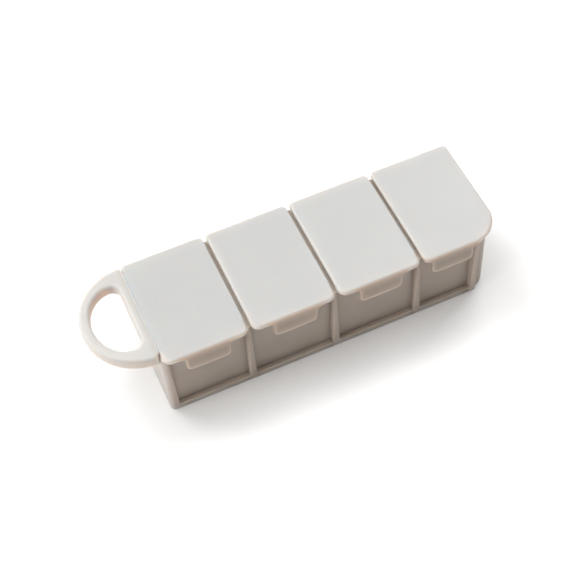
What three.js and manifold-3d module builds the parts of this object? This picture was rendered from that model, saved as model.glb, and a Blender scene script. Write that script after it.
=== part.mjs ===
// Travel pill organizer: a moulded tray of four compartments with a hanging ring at its left end,
// and four lids that turn on one steel rod behind the rear wall.
// Millimetres, +X along the row of lids, +Y to the hinge side, +Z up, resting on Z = 0.
// Places are measured from the tray's left face, the lids' front edge and the base.
import * as THREE from 'three';
import { mergeVertices } from 'three/addons/utils/BufferGeometryUtils.js';
import Module from 'manifold-3d';

const wasm = await Module();
wasm.setup();

// Driving dimensions
const lidCount = 4;
const lidPitch = 25; // from one lid to the next
const lidDepth = 34.6; // front edge to rear edge
const totalHeight = 27.5; // base to lid tops
const runClearance = 0.3; // between pieces that touch or turn on each other
const overrun = 1; // how far a cutter passes the face it opens
const leastCorner = 0.3; // least corner radius of an outline that is moved inwards
const weldTolerance = 1e-3;

const lid = {
  gap: 1, // between neighbouring lids
  ringGap: 0.35, // from the ring's plate to the first lid
  endOverhang: 0.7, // last lid past the tray's right face
  thickness: 1.5,
  edgeRound: 0.8, // top edge of the plate
  crownWidth: 1.6, // band along each edge that falls away softly
  crownSlope: 4, // degrees, where that band meets the rounded edge
  undersideRound: 0.25,
  frontCorner: 2.1,
  rearCorner: 1.3,
  endCorner: 9, // front right corner of the last lid
};

const tab = {
  width: 12.4,
  drop: 7.1, // from the lid's top to the tab's lower edge
  thickness: 1.5,
  corner: 1.6,
  flare: 1.4, // concave fillet where its sides meet the lid's edge
  edgeRound: 0.38,
};

const hook = { length: 8, height: 1, slant: 0.5, belowRidge: 0.4 };
const ridge = { length: 9, reach: 0.9, height: 0.9, slant: 0.45, belowTop: 2.4 };

const rim = {
  clearance: 0.4, // to the compartment's walls
  rearClearance: 0.9, // more at the rear, so the rim swings out past the wall's top
  thickness: 1,
  depth: 1.7,
};

const tray = {
  wall: 1.3,
  endWall: 1.6,
  floor: 1.5,
  frontInset: 2.5, // posts and rail behind the lids' front edge
  panelRecess: 1.5, // panels behind the posts
  post: 1.9, // width of posts, dividers and hinge lugs
  endPost: 2.5, // left post
  rightPost: 1.3,
  frameEnd: 4.9, // right face of the right post, from the tray's right face
  rail: 2, // height of the bottom rail
  frontLeftRound: 1.4,
  postRound: 0.4,
  rearRound: 1,
  endInset: 3.2, // front of the rounded right end, behind the lids' front edge
  endCorner: 6.5, // right front corner
  baseRound: 0.25,
  pocketCorner: 1.5,
  pocketFillet: 1.5,
  pocketDraft: 0.3, // the pockets' walls lean in by this much at the floor
};

const hinge = {
  lugRadius: 2.2,
  barrelRadius: 2,
  rodRadius: 0.75,
  rodClearance: 0.25,
  rearInset: 2.3, // the axis in front of the lids' rear edge
  openAngle: 115, // degrees, where the lids meet the lugs' slanted edges
  wallGap: 0.6, // between the barrels and the rear wall
  leafFront: 0.6, // front face of the lid's hinge leaf, in front of the axis
};

const ring = {
  thickness: 4,
  frontInset: 0.45, // front of the ring behind the posts' front
  rearInset: 0.15, // rear of the ring in front of the lids' rear edge
  straight: 0.3, // from the tray's left face to where its round begins
  endCorner: 1.5, // its two corners beside the first lid
  edgeRound: 1,
  straightBar: 2.55, // bar beside the first lid
  leftBar: 3.05,
  sideBar: 5.15, // bar at the hole's front and rear
  holeCorner: 2.4,
  rootDepth: 0.9, // how far its lower half runs into the end wall
};

const facetLength = 1.2; // longest facet round a corner
const leastArcSteps = 4;
const edgeSteps = 4;
const crownSteps = 3;
const tabEdgeSteps = 3;
const lugSteps = 6;
const circleSteps = 24;
const ringSteps = 18;

// Places that follow from the sizes above
const plateBottom = totalHeight - lid.thickness;
const wallTop = plateBottom - runClearance;
const postFront = tray.frontInset;
const panelFront = postFront + tray.panelRecess;
const hingeY = lidDepth - hinge.rearInset;
const hingeZ = wallTop - hinge.lugRadius;
const rearFace = hingeY - hinge.barrelRadius - hinge.wallGap;
const pocketFront = panelFront + tray.wall;
const pocketRear = rearFace - tray.wall;
const lidsRight = lidCount * lidPitch - lid.gap;
const trayRight = lidsRight - lid.endOverhang;
const frameRight = trayRight - tray.frameEnd;
const ringFront = postFront + ring.frontInset;
const ringRear = lidDepth - ring.rearInset;
const ringRadius = (ringRear - ringFront) / 2;
const ringLeft = -ring.straight - ringRadius;
const ringBottom = totalHeight - ring.thickness;

// Dividers and posts stand behind the middle of the gap between two lids.
function dividerMiddle(index) {
  return index * lidPitch - lid.gap / 2;
}

function isLast(index) {
  return index === lidCount - 1;
}

// Solids

function solidFrom(geometry) {
  const bare = geometry.clone();
  bare.deleteAttribute('normal');
  bare.deleteAttribute('uv');
  const merged = mergeVertices(bare, weldTolerance);
  return new wasm.Manifold(
    new wasm.Mesh({
      numProp: 3,
      vertProperties: new Float32Array(merged.attributes.position.array),
      triVerts: new Uint32Array(merged.index.array),
    }),
  );
}

function joined(...solids) {
  return solids.reduce((whole, piece) => whole.add(piece));
}

function cutBy(solid, ...cutters) {
  return cutters.reduce((rest, cutter) => rest.subtract(cutter), solid);
}

function meshFrom(name, solid, material) {
  const made = solid.getMesh();
  const indexed = new THREE.BufferGeometry();
  indexed.setAttribute('position', new THREE.BufferAttribute(new Float32Array(made.vertProperties), 3));
  indexed.setIndex(new THREE.BufferAttribute(new Uint32Array(made.triVerts), 1));
  const geometry = indexed.toNonIndexed();
  geometry.computeVertexNormals();
  const mesh = new THREE.Mesh(geometry, material);
  mesh.name = name;
  return mesh;
}

function block(x0, x1, y0, y1, z0, z1) {
  const geometry = new THREE.BoxGeometry(x1 - x0, y1 - y0, z1 - z0);
  geometry.translate((x0 + x1) / 2, (y0 + y1) / 2, (z0 + z1) / 2);
  return solidFrom(geometry);
}

// A cylinder along X about the hinge axis.
function hingeCylinder(radius, x0, x1) {
  const geometry = new THREE.CylinderGeometry(radius, radius, x1 - x0, circleSteps);
  geometry.rotateZ(Math.PI / 2);
  geometry.translate((x0 + x1) / 2, hingeY, hingeZ);
  return solidFrom(geometry);
}

// A shape drawn in Y and Z, extruded from x0 to x1.
function alongX(shape, x0, x1) {
  const geometry = new THREE.ExtrudeGeometry(shape, {
    depth: x1 - x0,
    bevelEnabled: false,
  });
  const toSide = new THREE.Matrix4().makeBasis(
    new THREE.Vector3(0, 1, 0),
    new THREE.Vector3(0, 0, 1),
    new THREE.Vector3(1, 0, 0),
  );
  geometry.applyMatrix4(toSide);
  geometry.translate(x0, 0, 0);
  return solidFrom(geometry);
}

function polygon(points) {
  return new THREE.Shape(points.map(([u, v]) => new THREE.Vector2(u, v)));
}

// A path's points without the doubled ones where its lines and arcs meet.
function cleanPoints(path, steps) {
  const points = path.getPoints(steps);
  return points.filter((point, i) => point.distanceTo(points[(i + 1) % points.length]) > weldTolerance);
}

// Points round a rectangle with rounded corners, moved inwards by inset.
// The corners' radii run front left, front right, rear right, rear left.
function roundedRing(box, radii, inset) {
  const corners = [
    [box.left, box.front, 1, 1, Math.PI],
    [box.right, box.front, -1, 1, Math.PI * 1.5],
    [box.right, box.rear, -1, -1, 0],
    [box.left, box.rear, 1, -1, Math.PI / 2],
  ];
  return corners.flatMap(([x, y, towardsX, towardsY, startAngle], index) => {
    const radius = Math.max(radii[index] - inset, leastCorner);
    const centre = new THREE.Vector2(x + towardsX * (inset + radius), y + towardsY * (inset + radius));
    const arc = new THREE.EllipseCurve(
      centre.x,
      centre.y,
      radius,
      radius,
      startAngle,
      startAngle + Math.PI / 2,
    );
    return arc.getPoints(Math.max(leastArcSteps, Math.ceil((radii[index] * Math.PI) / 2 / facetLength)));
  });
}

// A closed solid through rings of the same outline, each at its own inset and height.
function ringSolid(box, radii, levels) {
  const rings = levels.map(({ inset, z }) => roundedRing(box, radii, inset).map((p) => [p.x, p.y, z]));
  const count = rings[0].length;
  const middle = [(box.left + box.right) / 2, (box.front + box.rear) / 2];
  const positions = rings.flat();
  const bottomCentre = positions.push([...middle, levels[0].z]) - 1;
  const topCentre = positions.push([...middle, levels[levels.length - 1].z]) - 1;
  const lastRing = (rings.length - 1) * count;
  const faces = [];
  for (let i = 0; i < count; i += 1) {
    const next = (i + 1) % count;
    faces.push([bottomCentre, next, i]);
    faces.push([topCentre, lastRing + i, lastRing + next]);
    for (let level = 0; level < lastRing; level += count) {
      faces.push([level + i, level + next, level + count + next]);
      faces.push([level + i, level + count + next, level + count + i]);
    }
  }
  const geometry = new THREE.BufferGeometry();
  geometry.setAttribute('position', new THREE.Float32BufferAttribute(positions.flat(), 3));
  geometry.setIndex(faces.flat());
  return solidFrom(geometry);
}

// Levels of a rounded edge between angles, from its foot upwards.
function roundLevels(radius, footZ, startAngle, endAngle, steps) {
  return Array.from({ length: steps + 1 }, (_, i) => {
    const angle = startAngle + ((endAngle - startAngle) * i) / steps;
    return { inset: radius * (1 - Math.cos(angle)), z: footZ + radius * Math.sin(angle) };
  });
}

// Lids

function lidBox(index) {
  const left = index === 0 ? lid.ringGap : index * lidPitch;
  return { left, right: (index + 1) * lidPitch - lid.gap, front: 0, rear: lidDepth };
}

function lidRadii(index) {
  const frontRight = isLast(index) ? lid.endCorner : lid.frontCorner;
  return [lid.frontCorner, frontRight, lid.rearCorner, lid.rearCorner];
}

// The tab sits in the middle of the front edge's straight stretch.
function tabMiddle(box, [frontLeft, frontRight]) {
  return (box.left + frontLeft + box.right - frontRight) / 2;
}

// Levels of the plate's upper edge: rounded, then a soft crown that flattens out inwards.
function plateEdgeLevels() {
  const slope = THREE.MathUtils.degToRad(lid.crownSlope);
  const crownDrop = (lid.crownWidth * Math.tan(slope)) / 2;
  const roundTop = Math.PI / 2 - slope;
  const footZ = totalHeight - crownDrop - lid.edgeRound * Math.sin(roundTop);
  const roundInset = lid.edgeRound * (1 - Math.cos(roundTop));
  const levels = roundLevels(lid.edgeRound, footZ, 0, roundTop, edgeSteps);
  for (let i = 1; i <= crownSteps; i += 1) {
    const share = i / crownSteps;
    levels.push({
      inset: roundInset + lid.crownWidth * share,
      z: totalHeight - crownDrop * (1 - share) ** 2,
    });
  }
  return levels;
}

function lidPlate(box, radii) {
  return ringSolid(box, radii, [{ inset: lid.undersideRound, z: plateBottom }, ...plateEdgeLevels()]);
}

// The thumb tab hangs from the front edge, its sides flaring into the edge.
// Its upper part, inside the plate, is trimmed to the plate's rounded edge.
function lidTab(box, radii) {
  const half = tab.width / 2;
  const bottom = totalHeight - tab.drop;
  const flareFoot = plateBottom - tab.flare;
  const shoulder = half + tab.flare + tab.edgeRound * 2;
  const round = tab.corner;
  const shape = new THREE.Shape();
  shape.moveTo(shoulder, totalHeight);
  shape.lineTo(-shoulder, totalHeight);
  shape.lineTo(-shoulder, plateBottom);
  shape.absarc(-half - tab.flare, flareFoot, tab.flare, Math.PI / 2, 0, true);
  shape.absarc(-half + round, bottom + round, round, Math.PI, Math.PI * 1.5, false);
  shape.absarc(half - round, bottom + round, round, Math.PI * 1.5, Math.PI * 2, false);
  shape.absarc(half + tab.flare, flareFoot, tab.flare, Math.PI, Math.PI / 2, true);
  shape.lineTo(shoulder, plateBottom);
  const geometry = new THREE.ExtrudeGeometry(new THREE.Shape(cleanPoints(shape, tabEdgeSteps)), {
    depth: tab.thickness - tab.edgeRound * 2,
    bevelThickness: tab.edgeRound,
    bevelSize: tab.edgeRound,
    bevelOffset: -tab.edgeRound,
    bevelSegments: tabEdgeSteps,
  });
  geometry.rotateX(Math.PI / 2);
  geometry.translate(tabMiddle(box, radii), tab.thickness - tab.edgeRound, 0);
  const envelope = ringSolid(box, radii, [{ inset: 0, z: bottom - overrun }, ...plateEdgeLevels()]);
  return solidFrom(geometry).intersect(envelope);
}

// The hook behind the tab sits under the tray's catch ridge.
function lidHook(middle) {
  const top = wallTop - ridge.belowTop - ridge.height - hook.belowRidge;
  const reach = panelFront - ridge.reach - runClearance;
  const root = tab.thickness - tab.edgeRound;
  const shape = polygon([
    [root, top - hook.height - hook.slant],
    [reach, top - hook.height + hook.slant],
    [reach, top],
    [root, top],
  ]);
  return alongX(shape, middle - hook.length / 2, middle + hook.length / 2);
}

// The rim under the plate drops into the compartment's mouth.
function lidRim(index) {
  const pocket = pocketBox(index);
  const outer = {
    left: pocket.left + rim.clearance,
    right: pocket.right - rim.clearance,
    front: pocket.front + rim.clearance,
    rear: pocket.rear - rim.rearClearance,
  };
  const radii = pocketRadii(index).map((radius) => radius - rim.clearance);
  const bottom = plateBottom - rim.depth;
  const top = plateBottom + lid.undersideRound;
  const outside = ringSolid(outer, radii, [
    { inset: 0, z: bottom },
    { inset: 0, z: top },
  ]);
  const inside = ringSolid(outer, radii, [
    { inset: rim.thickness, z: bottom - overrun },
    { inset: rim.thickness, z: plateBottom },
  ]);
  return cutBy(outside, inside);
}

// The hinge leaf and barrel between two lugs.
function lidHinge(left, right) {
  const leafTop = plateBottom + lid.undersideRound;
  const leaf = block(
    left,
    right,
    hingeY - hinge.leafFront,
    hingeY + hinge.barrelRadius,
    hingeZ,
    leafTop,
  );
  return joined(hingeCylinder(hinge.barrelRadius, left, right), leaf);
}

function makeLid(index) {
  const box = lidBox(index);
  const radii = lidRadii(index);
  const barrelLeft = lugBox(index).right + runClearance;
  const barrelRight = lugBox(index + 1).left - runClearance;
  const body = joined(
    lidPlate(box, radii),
    lidTab(box, radii),
    lidHook(tabMiddle(box, radii)),
    lidRim(index),
    lidHinge(barrelLeft, barrelRight),
  );
  const bore = hingeCylinder(
    hinge.rodRadius + hinge.rodClearance,
    barrelLeft - overrun,
    barrelRight + overrun,
  );
  return cutBy(body, bore);
}

// Tray

// Lug 0 stands at the left face, the last at the right face, the others behind the dividers.
function lugBox(index) {
  if (index === 0) return { left: 0, right: tray.post };
  if (index === lidCount) return { left: trayRight - tray.post, right: trayRight };
  const middle = dividerMiddle(index);
  return { left: middle - tray.post / 2, right: middle + tray.post / 2 };
}

function pocketBox(index) {
  const left = index === 0 ? tray.endWall : dividerMiddle(index) + tray.post / 2;
  const right = isLast(index) ? trayRight - tray.endWall : dividerMiddle(index + 1) - tray.post / 2;
  return { left, right, front: pocketFront, rear: pocketRear };
}

function pocketRadii(index) {
  const round = tray.pocketCorner;
  const frontRight = isLast(index) ? tray.endCorner - tray.endWall : round;
  return [round, frontRight, round, round];
}

function baseLevels() {
  return roundLevels(tray.baseRound, tray.baseRound, -Math.PI / 2, 0, edgeSteps / 2);
}

// The walls, with the rounded right end.
function wallBlock() {
  const box = { left: 0, right: trayRight, front: tray.endInset, rear: rearFace };
  const radii = [tray.rearRound, tray.endCorner, tray.rearRound, tray.rearRound];
  return ringSolid(box, radii, [...baseLevels(), { inset: 0, z: wallTop }]);
}

// The posts and the bottom rail stand proud of the walls as one frame.
function frontFrame() {
  const box = { left: 0, right: frameRight, front: postFront, rear: pocketFront };
  const radii = [tray.frontLeftRound, tray.postRound, tray.postRound, tray.postRound];
  return ringSolid(box, radii, [...baseLevels(), { inset: 0, z: wallTop }]);
}

// The recessed panel in front of a compartment, between two posts and above the rail.
function panelRecess(index) {
  const left = index === 0 ? tray.endPost : dividerMiddle(index) + tray.post / 2;
  const right = isLast(index) ? frameRight - tray.rightPost : dividerMiddle(index + 1) - tray.post / 2;
  return block(left, right, postFront - overrun, panelFront, tray.rail, wallTop + overrun);
}

function pocketCutter(index) {
  const box = pocketBox(index);
  const fillet = tray.pocketFillet;
  const filletLevels = roundLevels(fillet, tray.floor + fillet, -Math.PI / 2, 0, edgeSteps);
  const levels = filletLevels.map(({ inset, z }) => ({ inset: inset + tray.pocketDraft, z }));
  levels.push({ inset: 0, z: wallTop });
  levels.push({ inset: 0, z: wallTop + overrun });
  return ringSolid(box, pocketRadii(index), levels);
}

// A lug: flat on top, rounded about the hinge axis, then a slanted edge that stops the open lid.
function hingeLug(index) {
  const { left, right } = lugBox(index);
  const root = rearFace - tray.wall;
  const stopAngle = Math.PI / 2 - THREE.MathUtils.degToRad(hinge.openAngle);
  const tangent = new THREE.Vector2(Math.cos(stopAngle), Math.sin(stopAngle)).multiplyScalar(hinge.lugRadius);
  const slantRun = hingeY + tangent.x - root;
  const slantDrop = slantRun / Math.tan(-stopAngle);
  const shape = new THREE.Shape();
  shape.moveTo(root, wallTop);
  shape.lineTo(hingeY, wallTop);
  shape.absarc(hingeY, hingeZ, hinge.lugRadius, Math.PI / 2, stopAngle, true);
  shape.lineTo(root, hingeZ + tangent.y - slantDrop);
  return alongX(new THREE.Shape(cleanPoints(shape, lugSteps)), left, right);
}

function catchRidge(index) {
  const middle = tabMiddle(lidBox(index), lidRadii(index));
  const top = wallTop - ridge.belowTop;
  const root = panelFront + tray.wall / 2;
  const nose = panelFront - ridge.reach;
  const shape = polygon([
    [root, top - ridge.height],
    [root, top],
    [panelFront, top],
    [nose, top - ridge.slant],
    [nose, top - ridge.height],
  ]);
  return alongX(shape, middle - ridge.length / 2, middle + ridge.length / 2);
}

// The hanging ring: a D with softly rounded edges, level with the lid tops.
function ringDee() {
  const centreY = (ringFront + ringRear) / 2;
  const outline = new THREE.Path();
  outline.moveTo(ring.rootDepth, ringFront);
  outline.lineTo(ring.rootDepth, ringRear);
  outline.absarc(-ring.straight, centreY, ringRadius, Math.PI / 2, Math.PI * 1.5, false);
  const holeHalf = ringRadius - ring.sideBar;
  const corner = ring.holeCorner;
  const bowX = -ring.straightBar - corner;
  const bowWidth = bowX - (ringLeft + ring.leftBar);
  const hole = new THREE.Path();
  hole.absarc(bowX, centreY + holeHalf - corner, corner, 0, Math.PI / 2, false);
  hole.absellipse(bowX, centreY, bowWidth, holeHalf, Math.PI / 2, Math.PI * 1.5, false, 0);
  hole.absarc(bowX, centreY - holeHalf + corner, corner, Math.PI * 1.5, Math.PI * 2, false);
  const shape = new THREE.Shape(cleanPoints(outline, ringSteps));
  shape.holes.push(new THREE.Path(cleanPoints(hole, ringSteps / 2)));
  const geometry = new THREE.ExtrudeGeometry(shape, {
    depth: ring.thickness - ring.edgeRound * 2,
    bevelThickness: ring.edgeRound,
    bevelSize: ring.edgeRound,
    bevelOffset: -ring.edgeRound,
    bevelSegments: edgeSteps,
  });
  geometry.translate(0, 0, ringBottom + ring.edgeRound);
  return solidFrom(geometry);
}

// The ring ends level with the tray's left face, its two corners there rounded in plan.
// A root below the lids runs on into the end wall, where the ring is moulded on.
function hangingRing() {
  const plan = { left: ringLeft - overrun, right: 0, front: ringFront, rear: ringRear };
  const radii = [leastCorner, ring.endCorner, ring.endCorner, leastCorner];
  const trim = ringSolid(plan, radii, [
    { inset: 0, z: ringBottom - overrun },
    { inset: 0, z: totalHeight + overrun },
  ]);
  const root = block(
    -ring.straightBar / 2,
    ring.rootDepth,
    plan.front + ring.endCorner,
    rearFace,
    ringBottom + ring.edgeRound / 2,
    wallTop,
  );
  return joined(ringDee().intersect(trim), root);
}

// The rod's bore is blind in the left lug and open at the right face.
function rodBore() {
  return hingeCylinder(hinge.rodRadius + hinge.rodClearance, tray.post / 2, trayRight + overrun);
}

function makeTray() {
  const indexes = Array.from({ length: lidCount }, (_, index) => index);
  const cutters = [...indexes.map(pocketCutter), ...indexes.map(panelRecess)];
  const lugs = [...indexes, lidCount].map(hingeLug);
  const ridges = indexes.map(catchRidge);
  const shell = cutBy(joined(wallBlock(), frontFrame(), ...lugs, hangingRing()), ...cutters);
  return cutBy(joined(shell, ...ridges), rodBore());
}

function makeRod() {
  return hingeCylinder(hinge.rodRadius, tray.post / 2 + runClearance, trayRight - runClearance);
}

// Assembly

const trayPlastic = new THREE.MeshStandardMaterial({ color: 0xcfc9c2, roughness: 0.45, metalness: 0 });
const lidPlastic = new THREE.MeshStandardMaterial({ color: 0xd9d9d7, roughness: 0.35, metalness: 0 });
const rodSteel = new THREE.MeshStandardMaterial({ color: 0xb4b6b8, roughness: 0.3, metalness: 1 });

const group = new THREE.Group();
group.add(meshFrom('tray', makeTray(), trayPlastic));
for (let index = 0; index < lidCount; index += 1) {
  group.add(meshFrom(`lid_${index + 1}`, makeLid(index), lidPlastic));
}
group.add(meshFrom('hinge_rod', makeRod(), rodSteel));

// The part's origin is under the middle of the whole, on the base.
group.position.set(-(ringLeft + lidsRight) / 2, -lidDepth / 2, 0);

export default group;
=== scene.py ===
# Travel pill organizer: a moulded tray with a hanging ring and four snap lids, all in warm light
# grey plastic, with the lids on one steel rod. It lies on a pale table.
import math

import bmesh
import bpy
from mathutils import Matrix, Vector
from mathutils.geometry import intersect_point_line


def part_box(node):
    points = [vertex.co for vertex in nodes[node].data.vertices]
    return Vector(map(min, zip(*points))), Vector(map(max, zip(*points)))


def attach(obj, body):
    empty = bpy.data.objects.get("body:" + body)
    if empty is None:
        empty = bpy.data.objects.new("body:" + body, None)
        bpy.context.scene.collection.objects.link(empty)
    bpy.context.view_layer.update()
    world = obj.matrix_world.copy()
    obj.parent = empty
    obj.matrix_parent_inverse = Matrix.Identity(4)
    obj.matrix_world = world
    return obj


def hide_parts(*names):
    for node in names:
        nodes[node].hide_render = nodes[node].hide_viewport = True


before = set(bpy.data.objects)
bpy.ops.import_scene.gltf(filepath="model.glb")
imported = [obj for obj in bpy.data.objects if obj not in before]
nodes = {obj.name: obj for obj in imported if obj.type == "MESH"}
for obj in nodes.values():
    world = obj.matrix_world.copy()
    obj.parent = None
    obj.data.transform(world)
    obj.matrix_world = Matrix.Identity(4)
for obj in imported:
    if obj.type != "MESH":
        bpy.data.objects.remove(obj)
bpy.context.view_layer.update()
scene = bpy.context.scene
mm = 0.001
print("stage 1: frame loaded, nodes:", ", ".join(sorted(nodes)))


# Node helpers, with places and lengths in metres, on the piece at rest

noiseSpan = (0.3, 0.7)  # nearly all values of a noise lie between these


def newMaterial(name):
    material = bpy.data.materials.new(name)
    material.use_nodes = True
    tree = material.node_tree
    tree.nodes.clear()
    output = tree.nodes.new("ShaderNodeOutputMaterial")
    shader = tree.nodes.new("ShaderNodeBsdfPrincipled")
    tree.links.new(shader.outputs["BSDF"], output.inputs["Surface"])
    return material, tree, shader


def objectPlace(tree):
    # object coordinates keep a pattern on its piece when the piece moves
    return tree.nodes.new("ShaderNodeTexCoord").outputs["Object"]


def noiseNode(tree, scale, detail, roughness=0.5, stretch=(1, 1, 1)):
    mapping = tree.nodes.new("ShaderNodeMapping")
    mapping.inputs["Scale"].default_value = stretch
    noise = tree.nodes.new("ShaderNodeTexNoise")
    noise.inputs["Scale"].default_value = scale
    noise.inputs["Detail"].default_value = detail
    noise.inputs["Roughness"].default_value = roughness
    tree.links.new(objectPlace(tree), mapping.inputs["Vector"])
    tree.links.new(mapping.outputs["Vector"], noise.inputs["Vector"])
    return noise.outputs["Fac"]


def rampNode(tree, value, stops):
    ramp = tree.nodes.new("ShaderNodeValToRGB")
    elements = ramp.color_ramp.elements
    while len(elements) < len(stops):
        elements.new(0.5)
    for element, (position, color) in zip(elements, stops):
        element.position = position
        element.color = (*color, 1)
    tree.links.new(value, ramp.inputs["Fac"])
    return ramp.outputs["Color"]


def rangeNode(tree, value, low, high, fromLow=0.0, fromHigh=1.0):
    mapRange = tree.nodes.new("ShaderNodeMapRange")
    mapRange.inputs["From Min"].default_value = fromLow
    mapRange.inputs["From Max"].default_value = fromHigh
    mapRange.inputs["To Min"].default_value = low
    mapRange.inputs["To Max"].default_value = high
    tree.links.new(value, mapRange.inputs["Value"])
    return mapRange.outputs["Result"]


def noiseRange(tree, noise, low, high):
    return rangeNode(tree, noise, low, high, *noiseSpan)


def noiseTint(tree, noise, color, shade):
    # the colour, in places darker, down to shade times itself
    low, high = noiseSpan
    return rampNode(tree, noise, [(low, tuple(c * shade for c in color)), (high, color)])


def placeAlong(tree, axis):
    split = tree.nodes.new("ShaderNodeSeparateXYZ")
    tree.links.new(objectPlace(tree), split.inputs["Vector"])
    return split.outputs[axis]


def rampAlong(tree, axis, stops):
    # colours at places along one axis
    least, most = stops[0][0], stops[-1][0]
    along = rangeNode(tree, placeAlong(tree, axis), 0, 1, least, most)
    shares = [((place - least) / (most - least), color) for place, color in stops]
    return rampNode(tree, along, shares)


def placeMask(tree, axis, start, end):
    # goes from 1 at start to 0 at end along one axis, and stays so beyond both
    return rangeNode(tree, placeAlong(tree, axis), 1, 0, start, end)


def roundMask(tree, center, halfSize, start, end):
    # the same by the distance from a centre, seen from above, where half the size counts as 1
    (x, y), (halfX, halfY) = center, halfSize
    shift = tree.nodes.new("ShaderNodeMapping")
    shift.vector_type = "POINT"
    shift.inputs["Location"].default_value = (-x / halfX, -y / halfY, 0)
    shift.inputs["Scale"].default_value = (1 / halfX, 1 / halfY, 0)
    tree.links.new(objectPlace(tree), shift.inputs["Vector"])
    length = tree.nodes.new("ShaderNodeVectorMath")
    length.operation = "LENGTH"
    tree.links.new(shift.outputs["Vector"], length.inputs["Vector"])
    return rangeNode(tree, length.outputs["Value"], 1, 0, start, end)


def mathNode(tree, operation, first, second):
    node = tree.nodes.new("ShaderNodeMath")
    node.operation = operation
    for socket, value in zip(node.inputs, (first, second)):
        if isinstance(value, (int, float)):
            socket.default_value = value
        else:
            tree.links.new(value, socket)
    return node.outputs["Value"]


def scaled(tree, color, factor):
    scale = tree.nodes.new("ShaderNodeVectorMath")
    scale.operation = "SCALE"
    if isinstance(color, tuple):
        scale.inputs["Vector"].default_value = color
    else:
        tree.links.new(color, scale.inputs["Vector"])
    tree.links.new(factor, scale.inputs["Scale"])
    return scale.outputs["Vector"]


def mixColor(tree, factor, first, second):
    mix = tree.nodes.new("ShaderNodeMix")
    mix.data_type = "RGBA"
    tree.links.new(factor, mix.inputs["Factor"])
    tree.links.new(first, mix.inputs[6])  # its colour sockets share their names with others
    if isinstance(second, tuple):
        mix.inputs[7].default_value = (*second, 1)
    else:
        tree.links.new(second, mix.inputs[7])
    return mix.outputs[2]


def bumpNode(tree, height, strength, distance):
    bump = tree.nodes.new("ShaderNodeBump")
    bump.inputs["Strength"].default_value = strength
    bump.inputs["Distance"].default_value = distance
    tree.links.new(height, bump.inputs["Height"])
    return bump.outputs["Normal"]


# The plastic. Each entry of a zone's mask gives the place where its colour is full and the place
# where it has faded out, along one axis, and a zone is where all its entries meet.

polypropylene = {
    "cloudDetail": 4,
    "cloudShades": (0.985, 1.015),  # darkest and palest, times the colour
    "edgeSamples": 12,
    "edgeSpan": (0.4, 1.0),  # how open the inside is at an outer edge and well away from one
    "rub": {"scale": 700, "detail": 5, "roughness": 0.7},  # patches where edges are rubbed
    "rubShare": 0.5,  # of the rubbed colour, at most
    "rubStart": 0.6,  # where on the edge mask the rubbing starts
    "streaks": {"scale": 240, "detail": 5, "roughness": 0.65, "stretch": (1, 0.25, 1)},
    "grainDetail": 2,
    "grainStrength": 0.25,
    "refraction": 1.49,
    "translucency": 1.0,
    "scatterReach": 3.0 * mm,
    "scatterShares": (1.0, 0.75, 0.6),  # of the reach, for red, green and blue
}

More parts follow.
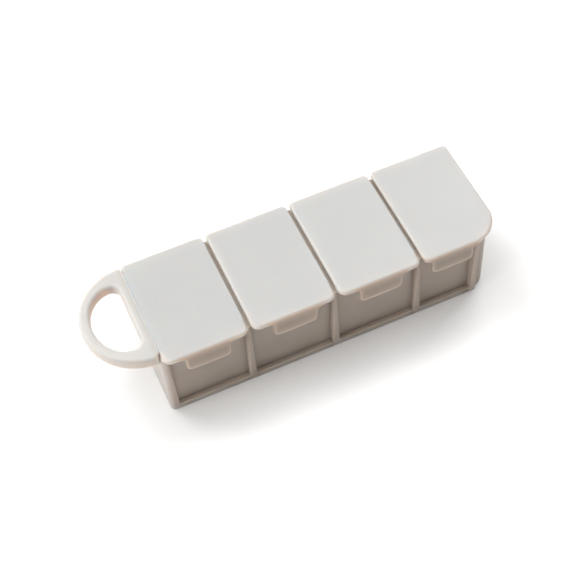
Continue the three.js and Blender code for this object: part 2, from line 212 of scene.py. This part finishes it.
lidFinish = {
    "zones": [
        # the side that faces the ring, paler because both light each other
        {"color": (0.880, 0.835, 0.780), "mask": [
            ("X", -41.06 * mm, -40.98 * mm), ("Z", 27.36 * mm, 27.44 * mm),
        ]},
        # round the last lid's free end, where light passes the edge
        {"color": (0.740, 0.675, 0.610), "mask": [
            ("X", 52.0 * mm, 49.0 * mm), ("Y", 9.0 * mm, 13.0 * mm), ("Z", 26.9 * mm, 27.3 * mm),
        ]},
    ],
    "side": [
        # up the lid's edge away from the tab, the last three also on its top; painted shade
        # darkens it low down and a painted paler band runs along its upper edge
        (20.4 * mm, (0.455, 0.425, 0.390)),
        (25.4 * mm, (0.455, 0.425, 0.390)),
        (25.95 * mm, (0.560, 0.505, 0.455)),
        (26.6 * mm, (0.575, 0.527, 0.480)),
        (27.1 * mm, (0.540, 0.505, 0.470)),
        (27.4 * mm, (0.510, 0.500, 0.482)),
        (27.44 * mm, (0.508, 0.499, 0.482)),
        (27.5 * mm, (0.502, 0.501, 0.491)),
    ],
    "tab": {
        "colors": [
            # up the thumb tab, warmer than the top because light soaks through it; painted shade
            # darkens its middle, and painted light makes its lower rim and upper edge paler
            (20.4 * mm, (0.505, 0.425, 0.360)),
            (21.2 * mm, (0.470, 0.382, 0.315)),
            (22.3 * mm, (0.413, 0.332, 0.270)),
            (23.7 * mm, (0.382, 0.306, 0.248)),
            (24.6 * mm, (0.398, 0.319, 0.259)),
            (25.5 * mm, (0.437, 0.351, 0.285)),
            (26.5 * mm, (0.515, 0.413, 0.333)),
            (26.95 * mm, (0.560, 0.470, 0.400)),
            (27.39 * mm, (0.512, 0.500, 0.478)),
            (27.44 * mm, (0.508, 0.499, 0.482)),
            (27.5 * mm, (0.502, 0.501, 0.491)),
        ],
        "places": [
            (-36.6 * mm, -22.0 * mm), (-11.8 * mm, 2.8 * mm),
            (13.2 * mm, 27.8 * mm), (34.8 * mm, 49.6 * mm),
        ],
        "fade": 1.4 * mm,  # to both sides of each place
        "front": (-14.4 * mm, -13.4 * mm),  # not on the hinge leaf behind
    },
    "lastTab": {  # more shaded than the others
        "glow": 0.93,
        "right": (35.0 * mm, 31.0 * mm),
        "below": (26.3 * mm, 26.9 * mm),
    },
    "rims": {  # slightly paler, because light comes in through the edge
        "glow": 1.06,
        "left": [-41.1 * mm, -16.5 * mm, 8.5 * mm, 33.5 * mm],  # left edges of the lids
        "gap": 0.9 * mm,  # how far the left rims' glow fades out to the left
        "width": 2.4 * mm,
        "third": 0.6,  # what is left of a left rim's glow at a third of its width
        "rear": (14.4 * mm, 17.2 * mm),
        "front": (-17.0 * mm, -14.2 * mm),
        "frontShare": 0.4,  # of the other rims' glow
    },
    "edgeReach": 1.1 * mm,  # how far in from an edge painted light makes it paler
    "edgeGlowColor": (0.665, 0.600, 0.535),
    "edgeGlowShare": 0.6,  # of the edge's colour, right at the edge
    "edgeBelow": (25.4 * mm, 26.6 * mm),  # not on the top
    "rubbedColor": (0.55, 0.53, 0.50),
    "roughness": (0.34, 0.42),  # smoothest and roughest streaks
    "cloudScale": 60,
    "grainScale": 2600,
    "grainDepth": 0.01 * mm,
    "gloss": 0.42,
}

trayFinish = {
    "color": (0.465, 0.394, 0.336),
    "zones": [
        # the left front, where more light comes in through the solid ring's root
        {"color": (0.506, 0.430, 0.367), "mask": [("X", -36.0 * mm, -26.0 * mm)]},
        # the foot, lit by the table
        {"color": (0.580, 0.512, 0.455), "mask": [("Z", 0.4 * mm, 1.5 * mm)]},
        # the solid ring, paler because light reaches it from all round, and warmer below its top
        {"color": (0.552, 0.543, 0.525), "mask": [
            ("X", -43.0 * mm, -40.0 * mm), ("Z", 24.2 * mm, 23.2 * mm),
        ]},
        {"color": (0.650, 0.590, 0.530), "mask": [
            ("X", -43.0 * mm, -41.5 * mm), ("Z", 26.0 * mm, 27.2 * mm),
        ]},
        # the inner wall of its hole, painted paler and warmer as light that soaks through the thin
        # ring
        {"color": (0.800, 0.710, 0.630), "mask": [
            ("hole", 1.08, 1.20), ("X", -46.0 * mm, -44.6 * mm), ("Z", 26.2 * mm, 27.4 * mm),
        ]},
        # the left end wall below the ring, with painted shade that keeps it darker and less warm
        # than the left front
        {"color": (0.468, 0.430, 0.395), "mask": [
            ("X", -41.4 * mm, -39.6 * mm), ("Z", 23.2 * mm, 24.2 * mm),
        ]},
        # the ring's straight side, which faces the first lid; painted light makes it pale, so the
        # gap to the lid shows only as a hair line
        {"color": (0.880, 0.840, 0.790), "mask": [
            ("X", -41.47 * mm, -41.49 * mm), ("Z", 25.9 * mm, 25.8 * mm),
        ]},
        # the ring's front corner beside the first lid, where light soaks through
        {"color": (0.840, 0.765, 0.695), "mask": [
            ("X", -42.0 * mm, -42.6 * mm), ("X", -40.9 * mm, -40.6 * mm),
            ("Y", -13.0 * mm, -12.6 * mm), ("Z", 27.15 * mm, 27.4 * mm),
            ("Z", 24.9 * mm, 24.4 * mm),
        ]},
        # the shaded right end of the last panel, beside the last post
        {"color": (0.375, 0.305, 0.252), "mask": [
            ("X", 49.5 * mm, 49.9 * mm), ("X", 49.4 * mm, 46.5 * mm),
            ("Y", -12.6 * mm, -12.0 * mm),
        ]},
        # the shaded right ends of the other panels, each beside the left side of its post
        *[{"color": (0.400, 0.331, 0.277), "mask": [
            ("X", (post - 0.025) * mm, (post + 0.225) * mm),
            ("X", (post - 0.175) * mm, (post - 1.975) * mm),
            ("Y", -12.6 * mm, -12.0 * mm),
        ]} for post in (-17.925, 7.075, 32.075)],
        # the second post, darkened by painted shade
        {"color": (0.435, 0.372, 0.318), "mask": [
            ("X", -15.6 * mm, -15.0 * mm), ("X", -18.4 * mm, -19.0 * mm),
            ("Y", -13.2 * mm, -12.6 * mm),
        ]},
        # the shaded start of the rounded end, beside the last post
        {"color": (0.365, 0.310, 0.265), "mask": [
            ("X", 52.8 * mm, 54.8 * mm), ("X", 52.2 * mm, 51.8 * mm),
            ("Y", -11.5 * mm, -10.0 * mm),
        ]},
    ],
    "hole": ((-49.25 * mm, 1.35 * mm), (5.25 * mm, 10.65 * mm)),  # middle and half size
    # its edges painted paler, as light that soaks in there
    "edgeReach": 0.8 * mm,
    "edgeGlowColor": (0.530, 0.485, 0.440),
    "edgeGlowShare": 0.32,
    "rubbedColor": (0.53, 0.47, 0.42),
    "roughness": (0.40, 0.50),
    "cloudScale": 45,
    "grainScale": 2200,
    "grainDepth": 0.012 * mm,
    "gloss": 0.40,
}


def grey(share):
    return (share, share, share)


def tabBands(places, fade):
    # 1 between each pair of places, fading to 0 beyond them
    stops = []
    for start, end in places:
        stops += [(start - fade, grey(0)), (start, grey(1)), (end, grey(1)), (end + fade, grey(0))]
    return stops


def leftRimBands(rims):
    # 1 at each lid's left edge, fading away over the width of the rim
    stops = []
    for start in rims["left"]:
        stops += [
            (start - rims["gap"], grey(0)), (start, grey(1)),
            (start + rims["width"] / 3, grey(rims["third"])), (start + rims["width"], grey(0)),
        ]
    return stops


def lidColor(tree, finish):
    # the top's colour with painted light and shade, warmer down the thumb tab and paler along the
    # rims
    side = rampAlong(tree, "Z", finish["side"])
    last = finish["lastTab"]
    right, below = placeMask(tree, "X", *last["right"]), placeMask(tree, "Z", *last["below"])
    shade = rangeNode(tree, mathNode(tree, "MULTIPLY", right, below), 1, last["glow"])
    tab = finish["tab"]
    tabColor = scaled(tree, rampAlong(tree, "Z", tab["colors"]), shade)
    across = rampAlong(tree, "X", tabBands(tab["places"], tab["fade"]))
    onTab = mathNode(tree, "MULTIPLY", across, placeMask(tree, "Y", *tab["front"]))
    base = mixColor(tree, onTab, side, tabColor)
    rims = finish["rims"]
    left = rampAlong(tree, "X", leftRimBands(rims))
    rear = rangeNode(tree, placeAlong(tree, "Y"), 0, 1, *rims["rear"])
    front = rangeNode(tree, placeAlong(tree, "Y"), rims["frontShare"], 0, *rims["front"])
    rim = mathNode(tree, "MAXIMUM", left, mathNode(tree, "MAXIMUM", rear, front))
    return scaled(tree, base, rangeNode(tree, rim, 1, rims["glow"]))


def edgeMask(tree, reach):
    # 1 at an outer edge and 0 further in than reach, felt out from inside the plastic
    inside = tree.nodes.new("ShaderNodeAmbientOcclusion")
    inside.inside = True
    inside.only_local = True
    inside.samples = polypropylene["edgeSamples"]
    inside.inputs["Distance"].default_value = reach
    return rangeNode(tree, inside.outputs["AO"], 1, 0, *polypropylene["edgeSpan"])


def mouldedPlastic(name, finish):
    # slightly cloudy colour, fine spark-eroded grain, edges paler with painted light and rubbed
    material, tree, shader = newMaterial(name)
    cloud = noiseNode(tree, finish["cloudScale"], polypropylene["cloudDetail"])
    color = lidColor(tree, finish) if "tab" in finish else finish["color"]
    base = scaled(tree, color, noiseRange(tree, cloud, *polypropylene["cloudShades"]))
    for zone in finish["zones"]:
        share = 1
        for axis, start, end in zone["mask"]:
            if axis == "hole":
                mask = roundMask(tree, *finish["hole"], start, end)
            else:
                mask = placeMask(tree, axis, start, end)
            share = mathNode(tree, "MULTIPLY", share, mask)
        base = mixColor(tree, share, base, zone["color"])
    # painted light: paler towards the outer edges, as light that soaks in there; the same mask
    # places the rubbing
    edge = edgeMask(tree, finish["edgeReach"])
    pale = mathNode(tree, "MULTIPLY", edge, finish["edgeGlowShare"])
    if "edgeBelow" in finish:
        pale = mathNode(tree, "MULTIPLY", pale, placeMask(tree, "Z", *finish["edgeBelow"]))
    bright = mixColor(tree, pale, base, finish["edgeGlowColor"])
    rubbed = rangeNode(tree, edge, 0, polypropylene["rubShare"], polypropylene["rubStart"], 1)
    patches = noiseNode(tree, **polypropylene["rub"])
    scuff = mathNode(tree, "MULTIPLY", rubbed, patches)
    worn = mixColor(tree, scuff, bright, finish["rubbedColor"])
    tree.links.new(worn, shader.inputs["Base Color"])

    streaks = noiseNode(tree, **polypropylene["streaks"])
    rough = noiseRange(tree, streaks, *finish["roughness"])
    tree.links.new(rough, shader.inputs["Roughness"])

    grain = noiseNode(tree, finish["grainScale"], polypropylene["grainDetail"])
    bump = bumpNode(tree, grain, polypropylene["grainStrength"], finish["grainDepth"])
    tree.links.new(bump, shader.inputs["Normal"])

    shader.inputs["Specular IOR Level"].default_value = finish["gloss"]
    shader.inputs["IOR"].default_value = polypropylene["refraction"]
    shader.inputs["Subsurface Weight"].default_value = polypropylene["translucency"]
    shader.inputs["Subsurface Radius"].default_value = polypropylene["scatterShares"]
    shader.inputs["Subsurface Scale"].default_value = polypropylene["scatterReach"]
    return material


rodFinish = {
    "color": (0.56, 0.565, 0.57),
    "darkest": 0.9,  # share of the colour in the dark lines
    "roughness": (0.22, 0.38),
    "lines": {"scale": 3000, "detail": 4, "stretch": (0.02, 1, 1)},
    "lineStrength": 0.3,
    "lineDepth": 0.005 * mm,
}


def drawnSteel(name, finish):
    # hard drawn wire: fine lines along its length
    material, tree, shader = newMaterial(name)
    lines = noiseNode(tree, **finish["lines"])
    tint = noiseTint(tree, lines, finish["color"], finish["darkest"])
    tree.links.new(tint, shader.inputs["Base Color"])
    rough = noiseRange(tree, lines, *finish["roughness"])
    tree.links.new(rough, shader.inputs["Roughness"])
    bump = bumpNode(tree, lines, finish["lineStrength"], finish["lineDepth"])
    tree.links.new(bump, shader.inputs["Normal"])
    shader.inputs["Metallic"].default_value = 1
    return material


lidPlastic = mouldedPlastic("lidPlastic", lidFinish)
trayPlastic = mouldedPlastic("trayPlastic", trayFinish)
rodSteel = drawnSteel("rodSteel", rodFinish)
print("stage 2: materials made")


# Moulded pieces: each solid again, with its small edge radii and even shading

ringSide = {
    "place": -41.475 * mm,  # the ring's straight side, next to the first lid
    "within": 0.01 * mm,
    "above": 27.0 * mm,  # only its upper edge moves
    "reach": 0.33 * mm,  # how far it comes towards the lid, to leave the real one's hair line
}

lastPost = {
    "place": 50.625 * mm,  # left side of the last post
    "within": 0.02 * mm,
    "behind": -13.2 * mm,
    "front": -14.8 * mm,
    "shift": (0.90 * mm, 0.25 * mm),  # how far its root and its front edge are moved left
}

softPost = {
    "front": -14.8 * mm,
    "corners": {  # place of each front corner and its radius
        -38.975 * mm: 1.1 * mm,
        -17.925 * mm: 0.75 * mm, -16.025 * mm: 0.75 * mm,
        7.075 * mm: 0.75 * mm, 8.975 * mm: 0.75 * mm,
        32.075 * mm: 0.75 * mm, 33.975 * mm: 0.75 * mm,
    },
    "within": 0.01 * mm,
    "leastLength": 5 * mm,  # a shorter edge there isn't a post's corner
    "segments": 4,
}

tightEdge = {
    "band": (1.0 * mm, 2.2 * mm),  # depth and width of the edge that gets tighter
    "span": (-14.0 * mm, 15.5 * mm),
    "fade": 1.5 * mm,
    "leastShare": 0.001,  # of the fade, where it starts
    "within": 0.001 * mm,
    "sides": {  # lid: which side, -1 left or 1 right, and what is left of its roundness
        "lid_1": [(-1, 0.08), (1, 0.3)],
        "lid_2": [(1, 0.3)],
        "lid_3": [(1, 0.3)],
    },
}

mouldedEdge = {
    "trayRadius": 0.28 * mm,
    "lidRadius": 0.22 * mm,
    "segments": 3,
    "sharpAngle": 32,  # degrees, what turns more than this is an edge
    "flatAngle": 1.0,  # degrees, faces that turn less than this are one face
    "foldAngle": 100,  # degrees, what turns more than this after rounding is folded over
    "weldDistances": (0.0015 * mm, 0.03 * mm),
    "leastEdge": 0.01 * mm,
    "samePlace": 0.001 * mm,
    "rounds": 10,  # tries at rounding, each leaving out the edges that folded over
    "clearance": (0.5 * mm, 1.2 * mm),  # from a fold to a rounded edge, first and last try
    "flatWeight": 90,  # over 50, so large faces stay flat in the shading
}


def cleanSolid(node):
    mesh = bmesh.new()
    mesh.from_mesh(node.data)
    for distance in mouldedEdge["weldDistances"]:
        bmesh.ops.remove_doubles(mesh, verts=mesh.verts, dist=distance)
    bmesh.ops.dissolve_degenerate(mesh, dist=mouldedEdge["leastEdge"], edges=mesh.edges)
    flat = math.radians(mouldedEdge["flatAngle"])
    bmesh.ops.dissolve_limit(mesh, angle_limit=flat, verts=mesh.verts, edges=mesh.edges)
    return mesh


def bevelEdges(mesh, edges, radius, segments):
    # with a round profile
    bmesh.ops.bevel(
        mesh, geom=edges, offset=radius, offset_type="OFFSET", affect="EDGES", segments=segments,
        profile=0.5, clamp_overlap=False, loop_slide=True, miter_outer="ARC",
    )


def closeRingSide(mesh):
    # returns the places of the moved corners, whose edge stays sharp
    moved = []
    for vert in mesh.verts:
        onSide = abs(vert.co.x - ringSide["place"]) < ringSide["within"]
        if onSide and vert.co.z > ringSide["above"]:
            vert.co.x += ringSide["reach"]
            moved.append(vert.co.copy())
    return moved


def widenLastPost(mesh):
    root, front = lastPost["shift"]
    for vert in mesh.verts:
        onSide = abs(vert.co.x - lastPost["place"]) < lastPost["within"]
        if onSide and vert.co.y < lastPost["behind"]:
            depth = lastPost["front"] - lastPost["behind"]
            share = (vert.co.y - lastPost["behind"]) / depth
            vert.co.x -= root + (front - root) * min(1, share)


def softenPosts(mesh):
    within = softPost["within"]
    for place, radius in softPost["corners"].items():
        corner = [
            edge for edge in mesh.edges if edge.calc_length() > softPost["leastLength"] and all(
                abs(vert.co.x - place) < within and abs(vert.co.y - softPost["front"]) < within
                for vert in edge.verts
            )
        ]
        bevelEdges(mesh, corner, radius, softPost["segments"])


def tightenEdges(mesh, nodeName):
    deep, wide = tightEdge["band"]
    start, end = tightEdge["span"]
    fade = tightEdge["fade"]
    low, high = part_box(nodeName)
    for place in (start, start + fade, end - fade, end):
        geometry = mesh.verts[:] + mesh.edges[:] + mesh.faces[:]
        bmesh.ops.bisect_plane(mesh, geom=geometry, plane_co=(0, place, 0), plane_no=(0, 1, 0))
    for side, roundness in tightEdge["sides"][nodeName]:
        outer = low[0] if side < 0 else high[0]
        for vert in mesh.verts:
            inward = (outer - vert.co.x) * side
            down = high[2] - vert.co.z
            along = min(vert.co.y - start, end - vert.co.y) / fade
            inBand = -tightEdge["within"] < inward < wide and down < deep
            if inBand and along > tightEdge["leastShare"]:
                keep = 1 + (roundness - 1) * min(1, along)
                vert.co.x = outer - side * inward * (keep + (1 - keep) * inward / wide)
                vert.co.z = high[2] - down * (keep + (1 - keep) * down / deep)


def edgesOver(mesh, degrees):
    limit = math.radians(degrees)
    return [edge for edge in mesh.edges if edge.is_manifold and edge.calc_face_angle() > limit]


def middle(edge):
    return (edge.verts[0].co + edge.verts[1].co) / 2


def distanceToEdge(point, edge):
    start, end = (vert.co for vert in edge.verts)
    nearest, share = intersect_point_line(point, start, end)
    nearest = start if share < 0 else end if share > 1 else nearest
    return (point - nearest).length


def joins(edge, places):
    near = mouldedEdge["samePlace"]
    return all(any((vert.co - place).length < near for place in places) for vert in edge.verts)


def roundEdges(solid, radius, keptSharp):
    # also returns how many folds were avoided and how many are left
    folded = []
    first, last = mouldedEdge["clearance"]
    lastTurn = mouldedEdge["rounds"] - 1
    for turn in range(mouldedEdge["rounds"]):
        mesh = solid.copy()
        near = first + (last - first) * turn / lastTurn
        chosen = [
            edge for edge in edgesOver(mesh, mouldedEdge["sharpAngle"])
            if not joins(edge, keptSharp)
            and not any(distanceToEdge(point, edge) < near for point in folded)
        ]
        bevelEdges(mesh, chosen, radius, mouldedEdge["segments"])
        new = [middle(edge) for edge in edgesOver(mesh, mouldedEdge["foldAngle"])]
        if not new or turn == lastTurn:
            return mesh, len(folded), len(new)
        folded.extend(new)
        mesh.free()


def setMaterial(piece, material):
    piece.data.materials.clear()
    piece.data.materials.append(material)


def mouldedPiece(pieceName, nodeName, body, radius, material):
    solid = cleanSolid(nodes[nodeName])
    keptSharp = []
    if nodeName == "tray":
        softenPosts(solid)
        widenLastPost(solid)
        keptSharp = closeRingSide(solid)
    elif nodeName in tightEdge["sides"]:
        tightenEdges(solid, nodeName)
    mesh, avoided, left = roundEdges(solid, radius, keptSharp)
    solid.free()
    for face in mesh.faces:
        face.smooth = True
    for edge in edgesOver(mesh, mouldedEdge["sharpAngle"]):
        edge.smooth = False
    low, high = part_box(nodeName)
    for vert in mesh.verts:  # rounding may push a corner out by a hair
        vert.co = Vector(
            min(max(place, least), most) for place, least, most in zip(vert.co, low, high)
        )
    data = bpy.data.meshes.new(pieceName)
    mesh.to_mesh(data)
    mesh.free()
    piece = bpy.data.objects.new(pieceName, data)
    scene.collection.objects.link(piece)
    setMaterial(piece, material)
    normals = piece.modifiers.new("evenShading", "WEIGHTED_NORMAL")
    normals.weight = mouldedEdge["flatWeight"]
    normals.keep_sharp = True
    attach(piece, body)
    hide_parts(nodeName)
    print("   ", pieceName, len(data.polygons), "faces,", avoided, "folds avoided,", left, "left")


mouldedPiece(
    "trayMoulding", "tray", "base", mouldedEdge["trayRadius"], trayPlastic,
)
for name in sorted(nodes):
    if name.startswith("lid_"):
        mouldedPiece(
            name.replace("lid_", "lidMoulding_"), name, name,
            mouldedEdge["lidRadius"], lidPlastic,
        )
rod = nodes["hinge_rod"]
for polygon in rod.data.polygons:
    polygon.use_smooth = True
setMaterial(rod, rodSteel)
print("stage 3: moulded pieces with their edge radii")


# Table

tableTop = {
    "color": (0.965, 0.962, 0.955),
    "darkest": 0.985,  # share of the colour in the dark flecks
    "fleck": {"scale": 900, "detail": 4},
    "roughness": 0.7,
    "gloss": 0.2,
    "size": 8.0,
    "farGlow": {"from": 0.35, "to": 1.6, "strength": 0.98},  # so that it stays pale far away
}


def buildTable():
    material, tree, shader = newMaterial("tableTop")
    fleck = noiseNode(tree, **tableTop["fleck"])
    tint = noiseTint(tree, fleck, tableTop["color"], tableTop["darkest"])
    tree.links.new(tint, shader.inputs["Base Color"])
    shader.inputs["Roughness"].default_value = tableTop["roughness"]
    shader.inputs["Specular IOR Level"].default_value = tableTop["gloss"]
    glow = tableTop["farGlow"]
    away = roundMask(tree, (0, 0), (1, 1), glow["to"], glow["from"])
    strength = mathNode(tree, "MULTIPLY", away, glow["strength"])
    tree.links.new(tint, shader.inputs["Emission Color"])
    tree.links.new(strength, shader.inputs["Emission Strength"])
    half = tableTop["size"] / 2
    corners = [(-half, -half, 0), (half, -half, 0), (half, half, 0), (-half, half, 0)]
    mesh = bpy.data.meshes.new("tableTop")
    mesh.from_pydata(corners, [], [(0, 1, 2, 3)])
    table = bpy.data.objects.new("tableTop", mesh)
    scene.collection.objects.link(table)
    setMaterial(table, material)


buildTable()


# Studio light

studio = {
    "surround": 0.02,  # how much light it gives
    "backdrop": 1.0,  # how pale it looks above the table
    "surroundColor": (1.0, 1.0, 1.0),
    "lamps": {
        # name: place, size and watts; each lamp looks at the organizer
        "overhead": {"place": (0.0, 0.0, 1.35), "size": 1.35, "power": 13.8, "color": (1, 1, 1)},
        "rearLeft": {"place": (-0.60, 0.76, 1.18), "size": 0.8, "power": 11.0, "color": (1, 1, 1)},
        "rearRight": {"place": (0.76, 0.68, 1.26), "size": 0.8, "power": 9.5, "color": (1, 1, 1)},
        "left": {"place": (-1.44, -0.09, 0.61), "size": 0.9, "power": 11.5, "color": (1, 1, 1)},
    },
    "lookAt": (0, 0, 0.015),
}


def aimed(place, target):
    return (Vector(target) - Vector(place)).to_track_quat("-Z", "Y")


def buildStudio():
    world = bpy.data.worlds.new("studio")
    world.use_nodes = True
    tree = world.node_tree
    background = tree.nodes["Background"]
    background.inputs["Color"].default_value = (*studio["surroundColor"], 1)
    seen = tree.nodes.new("ShaderNodeLightPath").outputs["Is Camera Ray"]
    strength = rangeNode(tree, seen, studio["surround"], studio["backdrop"])
    tree.links.new(strength, background.inputs["Strength"])
    scene.world = world
    for name, lamp in studio["lamps"].items():
        light = bpy.data.lights.new(name, "AREA")
        light.shape = "SQUARE"
        light.size = lamp["size"]
        light.energy = lamp["power"]
        light.color = lamp["color"]
        holder = bpy.data.objects.new(name, light)
        holder.location = lamp["place"]
        holder.rotation_mode = "QUATERNION"
        holder.rotation_quaternion = aimed(lamp["place"], studio["lookAt"])
        scene.collection.objects.link(holder)
    scene.view_settings.view_transform = "Standard"
    scene.view_settings.look = "None"


buildStudio()


# Camera, from the front left and well above, as in the photograph

cameraView = {
    "place": (-0.07315, -0.19730, 0.31399),
    "heading": 20.326,  # degrees, clockwise from looking along +Y
    "dip": 54.900,
    "roll": 4.479,  # clockwise
    "lens": 83.13,
    "sensor": 36.0,
    "nearest": 0.01,
}


def buildCamera():
    heading = math.radians(cameraView["heading"])
    dip = math.radians(cameraView["dip"])
    roll = math.radians(cameraView["roll"])
    flat = math.cos(dip)
    forward = Vector((math.sin(heading) * flat, math.cos(heading) * flat, -math.sin(dip)))
    level = Vector((math.cos(heading), -math.sin(heading), 0))
    upright = level.cross(forward)
    right = level * math.cos(roll) - upright * math.sin(roll)
    up = right.cross(forward)
    data = bpy.data.cameras.new("camera")
    data.lens = cameraView["lens"]
    data.sensor_width = cameraView["sensor"]
    data.clip_start = cameraView["nearest"]
    camera = bpy.data.objects.new("camera", data)
    camera.matrix_world = Matrix((right, up, -forward)).transposed().to_4x4()
    camera.location = cameraView["place"]
    scene.collection.objects.link(camera)
    scene.camera = camera


buildCamera()
print("stage 4: table, light and camera")
